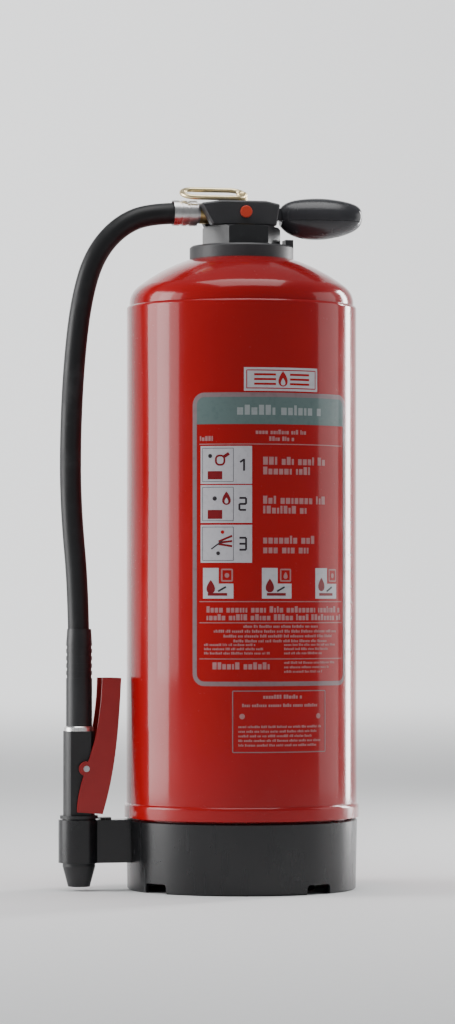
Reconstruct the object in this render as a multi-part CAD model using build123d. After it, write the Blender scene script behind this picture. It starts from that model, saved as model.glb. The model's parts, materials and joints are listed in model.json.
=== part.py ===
"""Cartridge-operated powder fire extinguisher: tank, foot, head, carrying handle, hose and pistol.

Origin on the tank's axis at floor level, +Z up. The hose and the pistol are on the -X side, the
carrying handle is on the +X side, and the front of the tank looks along -Y.
Each sub-part is one closed solid and is written to its own STEP file.
"""
import os
from math import pi, radians, sin, sqrt, tan

from build123d import *

# ---------------------------------------------------------------- driving dimensions, millimetres
# Fits
RUNNING = 0.05          # radial clearance of a pin that turns in its hole
SLIDE = 0.10            # radial clearance of a stem that slides in its bore
CLEAR = 0.30            # gap between pieces that only lie near each other
SEAT = 0.02             # gap between round faces that sit on each other

# Foot
FOOT_H = 58.0
FOOT_PROUD = 0.4        # how far its top edge stands out past the shell
FOOT_TAPER = 1.2        # how much smaller its bottom edge is
FOOT_WALL = 3.4
FOOT_GRIP = 1.2         # how far its bore stands off the bottom dome
FOOT_EDGE = 1.2         # bevel of its outer edges
SUPPORT_R = 60.0        # outside radius of the inner ring that carries the tank
SUPPORT_WALL = 4.0
RIB_COUNT = 8
RIB_WALL = 3.0
RIB_BOTTOM = 6.0
RIB_DROP = 8.0          # from the foot's top edge down to the ribs' tops
RIB_TURN = 22.5         # direction of the first rib from +X, which leaves room for the holder's arm
ARCH_COUNT = 4
ARCH_W = 25.0
ARCH_H = 8.0
ARCH_CORNER = 3.0
ARCH_TURN = -60.0       # direction of the first arch from +X

# Tank
SHELL_R = 95.0          # outside radius of the shell
SHELL_WALL = 2.0
SHELL_L = 417.0
DOME_WALL = 2.2
LAP = 12.0              # how far the top dome's skirt reaches down into the shell
TOP_CROWN_R = 140.0
TOP_KNUCKLE_R = 18.0
TANGENT_RISE = 4.3      # from the shell's top edge to where the dome's skirt ends and its knuckle begins
BEAD = 2.6              # leg of the weld beads
STEP_GAP = 0.5          # from the foot's top edge to the step in the bottom dome
STEP_H = 2.5            # from that step to the shell's bottom edge
SKIRT_H = 7.5           # how far the bottom dome's skirt laps up over the shell
SKIRT_WALL = 1.6
BOTTOM_CROWN_R = 170.0
BOTTOM_KNUCKLE_R = 20.0
BOTTOM_STRAIGHT = 5.5   # straight part of the bottom dome below its step
POWDER_DROP = 58.0      # from the shell's top edge down to the powder

# Nozzle holder
PISTOL_OUT = 41.0       # from the shell to the upright line that the pistol stands on
HOLDER_R = 16.8
HOLDER_WALL = 2.5
HOLDER_H = 35.0
ARM_W = 20.0
ARM_FLANGE = 3.0        # thickness of the key behind the foot's skirt
KEY_DROP = 12.0         # from the holder's top edge down to the key's
KEY_LAP = 8.0           # how far the key reaches past the arm on each side
KEY_HANG = 5.0          # and below it
LIP_L = 9.0
LIP_W = 12.0
LIP_H = 2.0

# Neck
BOSS_R = 26.0           # outside radius of the boss thread
BOSS_WALL = 4.0
BOSS_H = 25.0
BOSS_RISE = 4.0         # from the collar's top to the boss's top
RING_WALL = 17.0        # from the boss thread to the outside of the collar
RING_H = 11.0           # from the dome, at the collar's edge, to the collar's top
RING_EDGE = 1.5
REST_L = 7.0            # rest under the handle, on the collar
REST_W = 14.0
REST_H = 6.0
NUT_WALL = 2.5          # least wall of the union nut, behind its flats
NUT_H = 16.0
NUT_BEVEL = 2.2
FLANGE_H = 4.0
STEM_R = 20.0           # the core's neck through the nut's roof
CORE_R = 17.0
CORE_H = 16.0
SPIGOT_L = 28.0
SEAL_R = 1.5
SEAL_DROP = 8.0         # from the boss's top down to the seal ring
OUTLET_RISE = 11.0      # from the nut's top to the middle of the outlet
OUTLET_R = 8.5
OUTLET_END = -36.0
CHANNEL_R = 4.5

# Inside the tank
TUBE_DEPTH = 14.0       # how far the tubes go into the spigot
TUBE_OFF_DISH = 14.0    # from the bottom dome's lowest point to the riser's end
RISER_X = -14.0
RISER_R = 6.0
RISER_WALL = 1.2
RISER_FOOT_WALL = 2.5
RISER_FOOT_H = 16.0
RISER_FOOT_DROP = 2.0   # from the riser's end to the foot's
GAS_TUBE_AT = (-4.0, 16.0)
GAS_TUBE_R = 3.0
GAS_TUBE_WALL = 0.8
CARTRIDGE_R = 14.0
CARTRIDGE_L = 190.0
CARTRIDGE_NECK_R = 7.0
CARTRIDGE_DROP = 7.0    # from the spring's chamber down to the cartridge's top
MEMBRANE_DEPTH = 5.0    # from the cartridge's top down to the membrane
PIERCER_X = 7.0
PIERCER_R = 2.5
CHAMBER_R = 4.6
CHAMBER_DROP = 22.0     # from the nut's top down to the bottom of the spring's chamber
GUIDE_H = 6.0
GASKET_H = 2.0

# Head housing
HOUSING_H = 20.6
HOUSING_W = 38.0
HOUSING_LEFT = -38.0
HOUSING_RIGHT = 29.0
HOUSING_LEAN_LEFT = 10.0    # how much each end leans in towards the bottom
HOUSING_LEAN_RIGHT = 3.0
HOUSING_SLOPE = 2.6         # drop of the top face towards each end
SLOPE_LEFT = 18.0           # length of each sloping part
SLOPE_RIGHT = 12.0
HOUSING_CORNER = 1.6
HOUSING_EDGE = 1.4

# Carrying handle
HANDLE_PIVOT_X = 19.0
HANDLE_PIVOT_RISE = 10.0    # from the nut's top to the pivot
HANDLE_LIFT = 18.0          # degrees
HANDLE_PARTING = -4.0       # from the pivot to the joint between the two shells
HINGE_PIN_R = 2.5
HINGE_PIN_SUNK = 2.6
HUB_R = 6.0
ROCKER_W = 11.0
ROCKER_SIDE = 0.6           # play of the rocker in its slot, each side
ROCKER_ARM = 12.0           # pivot to the nose that presses the piercing pin
NOSE_R = 3.0
HANDLE_GAP = 0.1            # from the nut's corner to the handle's near end, which is above it
# stations along the handle: distance from its near end, centre above the pivot, half height, half width
HANDLE_STATIONS = (
    (0.0, -0.6, 7.8, 7.6),
    (10.5, -1.4, 14.6, 13.0),
    (24.5, -1.8, 17.0, 16.5),
    (41.0, -1.4, 16.6, 17.0),
    (56.0, -0.6, 13.6, 15.0),
    (65.4, 0.2, 9.4, 10.5),
    (68.5, 0.6, 5.0, 5.5),
)
SCREWS_AT = (16.5, 47.0)    # from the handle's near end
SCREW_R = 1.6
SCREW_HEAD_R = 3.0
SCREW_HEAD_H = 2.5
SCREW_GRIP = 12.0           # how far a screw reaches up from its head
SCREW_SUNK = 8.0            # from the parting down to a screw's head

# Safety pin
SAFETY_X = 0.3
SAFETY_R = 2.0
SAFETY_DEPTH = 11.0
SAFETY_KNOB_R = 4.6
SAFETY_KNOB_H = 8.4
LOOP_L = 56.0
LOOP_W = 25.0
LOOP_STOCK_R = 2.1
LOOP_REACH = 3.4        # how far the loop reaches past the pin's axis
LOOP_TILT = 23.0        # degrees

# Relief button
RELIEF_RISE = 11.5      # from the nut's top to the middle of the button
RELIEF_R = 5.0
RELIEF_PROUD = 1.8
RELIEF_SUNK = 1.2
RELIEF_STEM_R = 2.5
RELIEF_TRAVEL = 2.5
RELIEF_WALL = 2.0       # between the stem's bore and the rocker's slot
RELIEF_SPRING_R = 3.4
RELIEF_WIRE_R = 0.35
RELIEF_POCKET = 5.0     # depth of the spring's pocket in the core

# Hose
HOSE_R = 8.8
HOSE_BORE_R = 6.2
NIPPLE_BORE_R = 3.6
NIPPLE_DEPTH = 10.0
FERRULE_R = 10.6
FERRULE_END = -58.0
FLARE = 1.2
FLARE_L = 7.0
CRIMPS_AT = (5.0, 11.0)     # from the ferrule's end
CRIMP_W = 2.2
CRIMP_DEPTH = 0.7
HOSE_START_X = -42.0    # the hose's end on the nipple
HOSE_TURN_X = -76.0     # its first turn
# x and z of the turning points between its two upright or level ends
HOSE_POINTS = (
    (-103.0, 545.5),
    (-123.5, 521.0),
    (-134.0, 486.0),
    (-139.8, 440.0),
    (-143.3, 380.0),
    (-143.3, 315.0),
)
HOSE_LAST_TURN_Z = 238.0
HOSE_END_Z = 162.0      # its end inside the grip sleeve

# Pistol; heights above the body's lower end, distances out from the pistol's axis
HOLDER_GAP = 1.0        # between the holder and the pistol's shoulder
BODY_R = 13.0
BODY_FLAT = 10.0        # half width across the body's flats
BODY_H = 71.5
SHOULDER_R = 15.6
SHOULDER_H = 2.5
NOZZLE_R = 13.4
NOZZLE_TIP_R = 9.0
NOZZLE_MOUTH_R = 7.0
NOZZLE_SPIGOT_R = 7.6
NOZZLE_SPIGOT_H = 11.0
NOZZLE_TAPER_TOP = -39.0
NOZZLE_BOTTOM = -55.5
INLET_DEPTH = 9.0
INLET_L = 24.0          # how far the inlet tube reaches into the hose
COLLAR_R = 12.2
COLLAR_H = 4.0
COLLAR_EDGE = 1.0
GRIP_WALL = 1.6
GRIP_H = 79.5
GRIP_TAPER_H = 12.0
GRIP_GROOVES = 5
GRIP_PITCH = 6.0
LEVER_OUT = 4.0
LEVER_RISE = 41.0
LEVER_PIN_R = 2.5
LEVER_PIN_DEPTH = 4.4
LEVER_PIN_PROUD = 0.6
LEVER_EAR_R = 6.0
LEVER_W = 26.4
LEVER_CHEEK = 2.0
LEVER_WEB = 3.0
# the lever's back from its top end down, and its open side from the bottom up: distance out, height
LEVER_BACK = ((32.8, 115.0), (31.2, 87.0), (28.6, 59.0), (23.6, 28.0), (17.4, 4.0))
LEVER_MOUTH = ((-3.5, 5.6), (0.5, 31.0), (9.5, 59.0), (15.0, 87.0), (17.0, 115.0))
STEM_RISE = 18.0        # from the lever's pivot up to the valve stem
STEM_GAP = 0.4          # between the stem's tip and the lever's web
STEM_INNER = 2.0        # how far the stem reaches past the pistol's axis
STEM_TRAVEL = 5.0
VALVE_STEM_R = 3.0
STEM_FLANGE_H = 1.4
STEM_WIRE_R = 0.45

# ---------------------------------------------------------------- sizes that follow from those
FOOT_R_TOP = SHELL_R + FOOT_PROUD
FOOT_R_BOTTOM = FOOT_R_TOP - FOOT_TAPER
RIB_TOP = FOOT_H - RIB_DROP
STEP_Z = FOOT_H + STEP_GAP
SHELL_BOTTOM = STEP_Z + STEP_H
SHELL_TOP = SHELL_BOTTOM + SHELL_L
SKIRT_TOP = SHELL_BOTTOM + SKIRT_H
SKIRT_IN_R = SHELL_R + SEAT
SKIRT_R = SKIRT_IN_R + SKIRT_WALL
BOTTOM_R = FOOT_R_BOTTOM - FOOT_WALL - FOOT_GRIP
BOTTOM_TANGENT_Z = STEP_Z - BOTTOM_STRAIGHT
DISH_RISE = sqrt((BOTTOM_CROWN_R - BOTTOM_KNUCKLE_R) ** 2 - (BOTTOM_R - BOTTOM_KNUCKLE_R) ** 2)
DISH_LOW = BOTTOM_TANGENT_Z + DISH_RISE - BOTTOM_CROWN_R + DOME_WALL
RISER_BOTTOM = DISH_LOW + TUBE_OFF_DISH
DOME_R = SHELL_R - SHELL_WALL - CLEAR
TOP_TANGENT_Z = SHELL_TOP + TANGENT_RISE
CROWN_Z = TOP_TANGENT_Z - sqrt((TOP_CROWN_R - TOP_KNUCKLE_R) ** 2 - (DOME_R - TOP_KNUCKLE_R) ** 2)

RING_R = BOSS_R + RING_WALL
RING_TOP = CROWN_Z + sqrt(TOP_CROWN_R**2 - RING_R**2) + RING_H
BOSS_BORE_R = BOSS_R - BOSS_WALL
BOSS_TOP = RING_TOP + BOSS_RISE
NUT_FLATS = 2 * (BOSS_R + SEAT + NUT_WALL)
NUT_TOP = RING_TOP + NUT_H
FLANGE_TOP = BOSS_TOP + FLANGE_H
SPIGOT_R = BOSS_BORE_R - SLIDE
SPIGOT_BOTTOM = BOSS_TOP - SPIGOT_L
CORE_TOP = NUT_TOP + CORE_H
OUTLET_Z = NUT_TOP + OUTLET_RISE
RELIEF_Z = NUT_TOP + RELIEF_RISE
HOUSING_BOTTOM = NUT_TOP + CLEAR
HOUSING_TOP = HOUSING_BOTTOM + HOUSING_H
CHAMBER_BOTTOM = NUT_TOP - CHAMBER_DROP
CARTRIDGE_TOP = CHAMBER_BOTTOM - CARTRIDGE_DROP
CARTRIDGE_LOW = CARTRIDGE_TOP - CARTRIDGE_L

HANDLE_PIVOT = (HANDLE_PIVOT_X, NUT_TOP + HANDLE_PIVOT_RISE)
HANDLE_X = NUT_FLATS / sqrt(3) + HANDLE_GAP
SLOT_HALF = ROCKER_W / 2 + ROCKER_SIDE
NOSE_Z = HANDLE_PIVOT[1] - NOSE_R       # underside of the resting nose
SLOT_FLOOR = NOSE_Z - ROCKER_ARM * sin(radians(HANDLE_LIFT)) - 1.0
RELIEF_BORE_END = -SLOT_HALF - RELIEF_WALL
RELIEF_POCKET_R = RELIEF_SPRING_R + RELIEF_WIRE_R + CLEAR
RELIEF_BACK = -HOUSING_W / 2 + RELIEF_SUNK

PISTOL_X = -(SHELL_R + PISTOL_OUT)
HOLDER_TOP = FOOT_H
HOLDER_Z = HOLDER_TOP - HOLDER_H
BODY_Z = HOLDER_TOP + HOLDER_GAP
BODY_TOP = BODY_Z + BODY_H
GRIP_Z = BODY_TOP + COLLAR_H
INLET_R = HOSE_BORE_R - 2 * SLIDE
LEVER_PIVOT = (PISTOL_X + LEVER_OUT, BODY_Z + LEVER_RISE)
STEM_Z = LEVER_PIVOT[1] + STEM_RISE
STEM_TIP_X = PISTOL_X + LEVER_BACK[2][0] - LEVER_WEB - STEM_GAP
HOSE_ROUTE = (
    (HOSE_START_X, OUTLET_Z),
    (HOSE_TURN_X, OUTLET_Z),
    *HOSE_POINTS,
    (PISTOL_X, HOSE_LAST_TURN_Z),
    (PISTOL_X, HOSE_END_Z),
)

PARTS = {}


def keep(name, solid):
    """Stores one sub-part under its node name."""
    PARTS[name] = solid


# ---------------------------------------------------------------- shared shapes
def section(*edges):
    """A face in the XZ plane from edges drawn in (x, z)."""
    return Plane.XZ * make_face(Wire(list(edges)))


def turned(points, x=0.0, y=0.0):
    """A solid of revolution about the vertical line through (x, y), from an outline in (radius, z)."""
    face = Plane.XZ * make_face(Polyline(*points, close=True))
    return Pos(x, y, 0) * revolve(face, Axis.Z, 360)


def tube(r_out, r_in, z_low, z_high, x=0.0, y=0.0):
    """An upright tube."""
    return turned([(r_in, z_low), (r_out, z_low), (r_out, z_high), (r_in, z_high)], x, y)


def rod(r, z_low, z_high, x=0.0, y=0.0):
    """An upright round bar."""
    return turned([(0, z_low), (r, z_low), (r, z_high), (0, z_high)], x, y)


def rod_x(r, x_low, x_high, z, y=0.0):
    """A round bar along X."""
    return Pos((x_low + x_high) / 2, y, z) * Rot(0, 90, 0) * Cylinder(r, x_high - x_low)


def rod_y(r, y_low, y_high, x, z):
    """A round bar along Y."""
    return Pos(x, (y_low + y_high) / 2, z) * Rot(90, 0, 0) * Cylinder(r, y_high - y_low)


def block(x_low, x_high, half_y, z_low, z_high):
    """A box that is even about the XZ plane."""
    centre = Pos((x_low + x_high) / 2, 0, (z_low + z_high) / 2)
    return centre * Box(x_high - x_low, 2 * half_y, z_high - z_low)


def one(shape):
    """The single solid of a result."""
    return shape.solids().sort_by(SortBy.VOLUME)[-1]


def head_curve(radius, crown, knuckle, z_tangent, hole_r, z_end, up):
    """A dished end's line in (radius, z): from the hole or the axis, over crown and knuckle, to z_end."""
    span = radius - knuckle
    crown_z = z_tangent - up * sqrt((crown - knuckle) ** 2 - span**2)
    lean = Vector(span, z_tangent - crown_z).normalized()
    join = Vector(0, crown_z) + lean * crown
    start = Vector(hole_r, crown_z + up * sqrt(crown**2 - hole_r**2))
    between = ((start - Vector(0, crown_z)).normalized() + lean).normalized() * crown
    bend = (Vector(1, 0) + lean).normalized() * knuckle
    return [
        ThreePointArc(start, Vector(0, crown_z) + between, join),
        ThreePointArc(join, Vector(span, z_tangent) + bend, Vector(radius, z_tangent)),
        Line((radius, z_tangent), (radius, z_end)),
    ]


def coil(r_mid, wire_r, z_low, z_high, turns, x=0.0, y=0.0):
    """A compression spring of round wire, between two heights."""
    length = z_high - z_low - 2 * wire_r
    path = Helix(pitch=length / turns, height=length, radius=r_mid)
    profile = Plane(path @ 0, z_dir=path % 0) * Circle(wire_r)
    return Pos(x, y, z_low + wire_r) * one(sweep(profile, path))


# ---------------------------------------------------------------- tank
def tank_shell():
    keep("tank_shell", tube(SHELL_R, SHELL_R - SHELL_WALL, SHELL_BOTTOM, SHELL_TOP))


def weld_bead(r_in, r_out, z_low, height):
    """A fillet weld that runs round, with its foot flat at z_low and its back against r_in."""
    foot_in, foot_out, top = (r_in, z_low), (r_out, z_low), (r_in, z_low + height)
    crest = (r_in + 0.66 * (r_out - r_in), z_low + 0.66 * height)
    face = section(Line(foot_in, foot_out), ThreePointArc(foot_out, crest, top), Line(top, foot_in))
    return one(revolve(face, Axis.Z, 360))


def top_dome():
    """Dished top with a skirt that slips into the shell, and a hole for the neck boss."""
    hole = BOSS_R + SEAT
    low = SHELL_TOP - LAP
    outer = head_curve(DOME_R, TOP_CROWN_R, TOP_KNUCKLE_R, TOP_TANGENT_Z, hole, low, 1)
    wall = DOME_WALL
    inner = head_curve(DOME_R - wall, TOP_CROWN_R - wall, TOP_KNUCKLE_R - wall, TOP_TANGENT_Z, hole, low, 1)
    face = section(*outer, *inner, Line(outer[0] @ 0, inner[0] @ 0), Line(outer[2] @ 1, inner[2] @ 1))
    keep("top_dome", one(revolve(face, Axis.Z, 360)))
    keep("top_seam", weld_bead(DOME_R + SEAT, SHELL_R, SHELL_TOP, BEAD))


def bottom_profile(gap):
    """The bottom dome's outer line, moved out by gap."""
    radii = (BOTTOM_R + gap, BOTTOM_CROWN_R + gap, BOTTOM_KNUCKLE_R + gap)
    return head_curve(*radii, BOTTOM_TANGENT_Z, 0, STEP_Z, -1)


def dish_room(gap):
    """The space that the bottom dome takes, gap larger all round."""
    outline = bottom_profile(gap)
    lid = Polyline((BOTTOM_R + gap, STEP_Z), (0, STEP_Z), outline[0] @ 0)
    return revolve(section(*outline, *lid.edges()), Axis.Z, 360)


def bottom_dome():
    """Dished bottom whose skirt laps over the outside of the shell and stands proud of it as a rim."""
    outer = bottom_profile(0)
    inner = bottom_profile(-DOME_WALL)
    inner_r = BOTTOM_R - DOME_WALL
    ledge = SHELL_BOTTOM - SEAT
    step = [
        (BOTTOM_R, STEP_Z),
        (SKIRT_R, STEP_Z + 1.0),
        (SKIRT_R, SKIRT_TOP),
        (SKIRT_IN_R, SKIRT_TOP),
        (SKIRT_IN_R, ledge),
        (inner_r, ledge),
        (inner_r, STEP_Z),
    ]
    close = Line(inner[0] @ 0, outer[0] @ 0)
    face = section(*outer, *inner, *Polyline(*step).edges(), close)
    keep("bottom_dome", one(revolve(face, Axis.Z, 360)))
    keep("bottom_seam", weld_bead(SHELL_R + SEAT, SKIRT_R, SKIRT_TOP, BEAD))


def powder():
    """The powder charge, as a solid that fills the shell up to a level and leaves the inner parts free."""
    level = SHELL_TOP - POWDER_DROP
    floor = SHELL_BOTTOM + CLEAR
    charge = rod(SHELL_R - SHELL_WALL - CLEAR, floor, level)
    charge -= rod(RISER_R + CLEAR, floor - 1, level + 1, RISER_X)
    charge -= rod(GAS_TUBE_R + CLEAR, floor - 1, level + 1, *GAS_TUBE_AT)
    charge -= rod(CARTRIDGE_R + CLEAR, CARTRIDGE_LOW - CLEAR, level + 1, PIERCER_X)
    keep("powder_charge", one(charge))


def neck_boss():
    """Threaded boss welded into the top dome."""
    keep("neck_boss", tube(BOSS_R, BOSS_BORE_R, BOSS_TOP - BOSS_H, BOSS_TOP))


# ---------------------------------------------------------------- foot and nozzle holder
def foot_ring():
    """Moulded foot: an outer skirt with arches, an inner ring that carries the tank, and ribs between."""
    in_top = FOOT_R_TOP - FOOT_WALL
    in_bottom = FOOT_R_BOTTOM - FOOT_WALL
    skirt = turned(
        [
            (in_bottom, 0),
            (FOOT_R_BOTTOM - FOOT_EDGE, 0),
            (FOOT_R_BOTTOM, FOOT_EDGE),
            (FOOT_R_TOP, FOOT_H - FOOT_EDGE),
            (FOOT_R_TOP - FOOT_EDGE, FOOT_H),
            (in_top, FOOT_H),
        ]
    )
    arch = block(in_bottom - 10, FOOT_R_TOP + 10, ARCH_W / 2, -ARCH_H, ARCH_H)
    arch = fillet(arch.edges().filter_by(Axis.X).group_by(Axis.Z)[-1], ARCH_CORNER)
    for i in range(ARCH_COUNT):
        skirt -= Rot(0, 0, ARCH_TURN + i * 360 / ARCH_COUNT) * arch
    foot = skirt + tube(SUPPORT_R, SUPPORT_R - SUPPORT_WALL, 0, RIB_TOP)
    rib = block(SUPPORT_R - SUPPORT_WALL / 2, in_top + FOOT_WALL / 4, RIB_WALL / 2, RIB_BOTTOM, RIB_TOP)
    for i in range(RIB_COUNT):
        foot += Rot(0, 0, RIB_TURN + i * 360 / RIB_COUNT) * rib
    foot -= dish_room(SEAT)
    foot -= block(-FOOT_R_TOP - 5, -FOOT_R_BOTTOM + 12, ARM_W / 2 + CLEAR, HOLDER_Z - CLEAR, HOLDER_TOP + 1)
    keep("foot_ring", one(foot))


def nozzle_holder():
    """Ring that the nozzle stands in, on an arm that is keyed into the foot's skirt."""
    behind_skirt = FOOT_R_BOTTOM - FOOT_WALL - CLEAR
    ring = rod(HOLDER_R, HOLDER_Z, HOLDER_TOP, PISTOL_X)
    arm = block(PISTOL_X, -(behind_skirt - ARM_FLANGE), ARM_W / 2, HOLDER_Z, HOLDER_TOP)
    key_top = HOLDER_TOP - KEY_DROP
    key = tube(behind_skirt, behind_skirt - ARM_FLANGE, HOLDER_Z - KEY_HANG, key_top)
    key = key & block(-FOOT_R_TOP, -SUPPORT_R, ARM_W / 2 + KEY_LAP, HOLDER_Z - KEY_HANG, key_top)
    lip_start = PISTOL_X + HOLDER_R
    lip = block(lip_start, lip_start + LIP_L, LIP_W / 2, HOLDER_TOP - 1, HOLDER_TOP + LIP_H)
    holder = ring + arm + key + lip
    holder -= rod(HOLDER_R - HOLDER_WALL, HOLDER_Z - 1, HOLDER_TOP + 5, PISTOL_X)
    holder -= dish_room(CLEAR)
    keep("nozzle_holder", one(holder))


# ---------------------------------------------------------------- neck and head
def neck():
    """Collar on the dome, and the union nut that clamps the core's flange to the boss."""
    bore = BOSS_R + CLEAR
    ring = turned(
        [
            (bore, CROWN_Z + DOME_R),
            (RING_R, CROWN_Z + DOME_R),
            (RING_R, RING_TOP - RING_EDGE),
            (RING_R - RING_EDGE, RING_TOP),
            (bore, RING_TOP),
        ]
    )
    ring += block(RING_R - REST_L, RING_R - 0.5, REST_W / 2, RING_TOP - 1, RING_TOP + REST_H)
    ring -= Pos(0, 0, CROWN_Z) * Sphere(TOP_CROWN_R + SEAT)
    keep("neck_ring", one(ring))

    hexagon = Plane.XY.offset(RING_TOP) * RegularPolygon(NUT_FLATS / 2, 6, major_radius=False)
    nut = extrude(hexagon, NUT_H)
    corner = NUT_FLATS / sqrt(3)
    bevel = [
        (0, RING_TOP),
        (corner + 1, RING_TOP),
        (corner + 1, NUT_TOP - NUT_BEVEL),
        (corner - NUT_BEVEL, NUT_TOP),
        (0, NUT_TOP),
    ]
    nut = nut & turned(bevel)
    nut -= rod(BOSS_R + SEAT, RING_TOP - 1, FLANGE_TOP)
    nut -= rod(STEM_R + CLEAR, RING_TOP - 1, NUT_TOP + 1)
    keep("union_nut", one(nut))
    keep("neck_seal", one(Pos(0, 0, BOSS_TOP - SEAL_DROP) * Torus(SPIGOT_R - SEAL_R + SEAT, SEAL_R)))


def valve_core():
    """Metal core: spigot in the boss, flange, neck, and an upper part with the outlet and the bores."""
    core = turned(
        [
            (0, SPIGOT_BOTTOM),
            (SPIGOT_R, SPIGOT_BOTTOM),
            (SPIGOT_R, BOSS_TOP),
            (BOSS_R - 1, BOSS_TOP),
            (BOSS_R - 1, FLANGE_TOP),
            (STEM_R, FLANGE_TOP),
            (STEM_R, NUT_TOP),
            (CORE_R, NUT_TOP),
            (CORE_R, CORE_TOP),
            (0, CORE_TOP),
        ]
    )
    core += rod_x(OUTLET_R, OUTLET_END, -CORE_R / 2, OUTLET_Z)
    groove_z = BOSS_TOP - SEAL_DROP
    groove = SEAL_R + SLIDE
    core -= tube(SPIGOT_R + 1, SPIGOT_R - 2 * groove, groove_z - groove, groove_z + groove)
    core -= rod(RISER_R + SEAT, SPIGOT_BOTTOM - 1, SPIGOT_BOTTOM + TUBE_DEPTH, RISER_X)
    core -= rod(CHANNEL_R, SPIGOT_BOTTOM, OUTLET_Z, RISER_X)
    core -= rod_x(CHANNEL_R, OUTLET_END - 1, RISER_X, OUTLET_Z)
    core -= rod_x(HOSE_BORE_R + SEAT, OUTLET_END - 1, OUTLET_END + NIPPLE_DEPTH, OUTLET_Z)
    core -= rod(CARTRIDGE_NECK_R + SEAT, SPIGOT_BOTTOM - 1, CARTRIDGE_TOP + GASKET_H, PIERCER_X)
    core -= rod(PIERCER_R + SLIDE, CARTRIDGE_TOP, CORE_TOP + 1, PIERCER_X)
    core -= rod(CHAMBER_R, CHAMBER_BOTTOM, CORE_TOP + 1, PIERCER_X)
    core -= rod(GAS_TUBE_R + SEAT, SPIGOT_BOTTOM - 1, SPIGOT_BOTTOM + TUBE_DEPTH, *GAS_TUBE_AT)
    slot_left = SAFETY_X - SAFETY_R - CLEAR
    core -= block(slot_left, CORE_R + 5, SLOT_HALF, SLOT_FLOOR, CORE_TOP + 1)
    core -= rod_y(RELIEF_STEM_R + SLIDE, -CORE_R - 1, RELIEF_BORE_END, 0, RELIEF_Z)
    core -= rod_y(RELIEF_POCKET_R, -CORE_R - 1, -CORE_R + RELIEF_POCKET, 0, RELIEF_Z)
    core -= rod_y(RELIEF_R + CLEAR, -CORE_R - 1, RELIEF_BACK + RELIEF_TRAVEL + CLEAR, 0, RELIEF_Z)
    keep("valve_core", one(core))


def cartridge_parts():
    """Gas cartridge with its seal, the pin that pierces it, and the pin's spring and guide."""
    top = CARTRIDGE_TOP
    body_top = SPIGOT_BOTTOM - 10
    mouth = PIERCER_R + 0.7
    cartridge = turned(
        [
            (0, CARTRIDGE_LOW),
            (CARTRIDGE_R - 5, CARTRIDGE_LOW),
            (CARTRIDGE_R, CARTRIDGE_LOW + 5),
            (CARTRIDGE_R, body_top - 8),
            (CARTRIDGE_NECK_R, body_top),
            (CARTRIDGE_NECK_R, top),
            (mouth, top),
            (mouth, top - MEMBRANE_DEPTH),
            (0, top - MEMBRANE_DEPTH),
        ],
        PIERCER_X,
    )
    keep("gas_cartridge", one(cartridge))
    keep("cartridge_seal", tube(CARTRIDGE_NECK_R - 0.5, PIERCER_R + 1, top, top + GASKET_H - SEAT, PIERCER_X))
    collar_top = SLOT_FLOOR - GUIDE_H - SEAT
    collar_low = collar_top - PIERCER_R
    pin = turned(
        [
            (0, top + GASKET_H / 2),
            (PIERCER_R, top + GASKET_H / 2 + 2 * PIERCER_R),
            (PIERCER_R, collar_low),
            (CHAMBER_R - SLIDE, collar_low),
            (CHAMBER_R - SLIDE, collar_top),
            (PIERCER_R, collar_top),
            (PIERCER_R, NOSE_Z - CLEAR),
            (0, NOSE_Z - CLEAR),
        ],
        PIERCER_X,
    )
    keep("piercing_pin", one(pin))
    wire = (CHAMBER_R - PIERCER_R) / 4
    spring = coil((CHAMBER_R + PIERCER_R) / 2, wire, CHAMBER_BOTTOM + SEAT, collar_low - SEAT, 5, PIERCER_X)
    keep("piercing_spring", spring)
    keep("pin_guide", tube(CHAMBER_R - SEAT, PIERCER_R + SLIDE, collar_top + SEAT, SLOT_FLOOR, PIERCER_X))


def dip_tubes():
    """Riser that brings the powder up, with its foot, and the tube that leads gas to the bottom."""
    top = SPIGOT_BOTTOM + TUBE_DEPTH
    keep("riser_tube", tube(RISER_R, RISER_R - RISER_WALL, RISER_BOTTOM, top, RISER_X))
    foot_low = RISER_BOTTOM - RISER_FOOT_DROP
    foot = tube(RISER_R + RISER_FOOT_WALL, RISER_R + SEAT, foot_low, foot_low + RISER_FOOT_H, RISER_X)
    for turn in (0, 90):
        foot -= Pos(RISER_X, 0, foot_low) * Rot(0, 0, turn) * Box(4 * RISER_R, RISER_R, RISER_R)
    keep("riser_foot", one(foot))
    gas_bottom = RISER_BOTTOM + 2 * GAS_TUBE_R
    keep("gas_tube", tube(GAS_TUBE_R, GAS_TUBE_R - GAS_TUBE_WALL, gas_bottom, top, *GAS_TUBE_AT))


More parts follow.
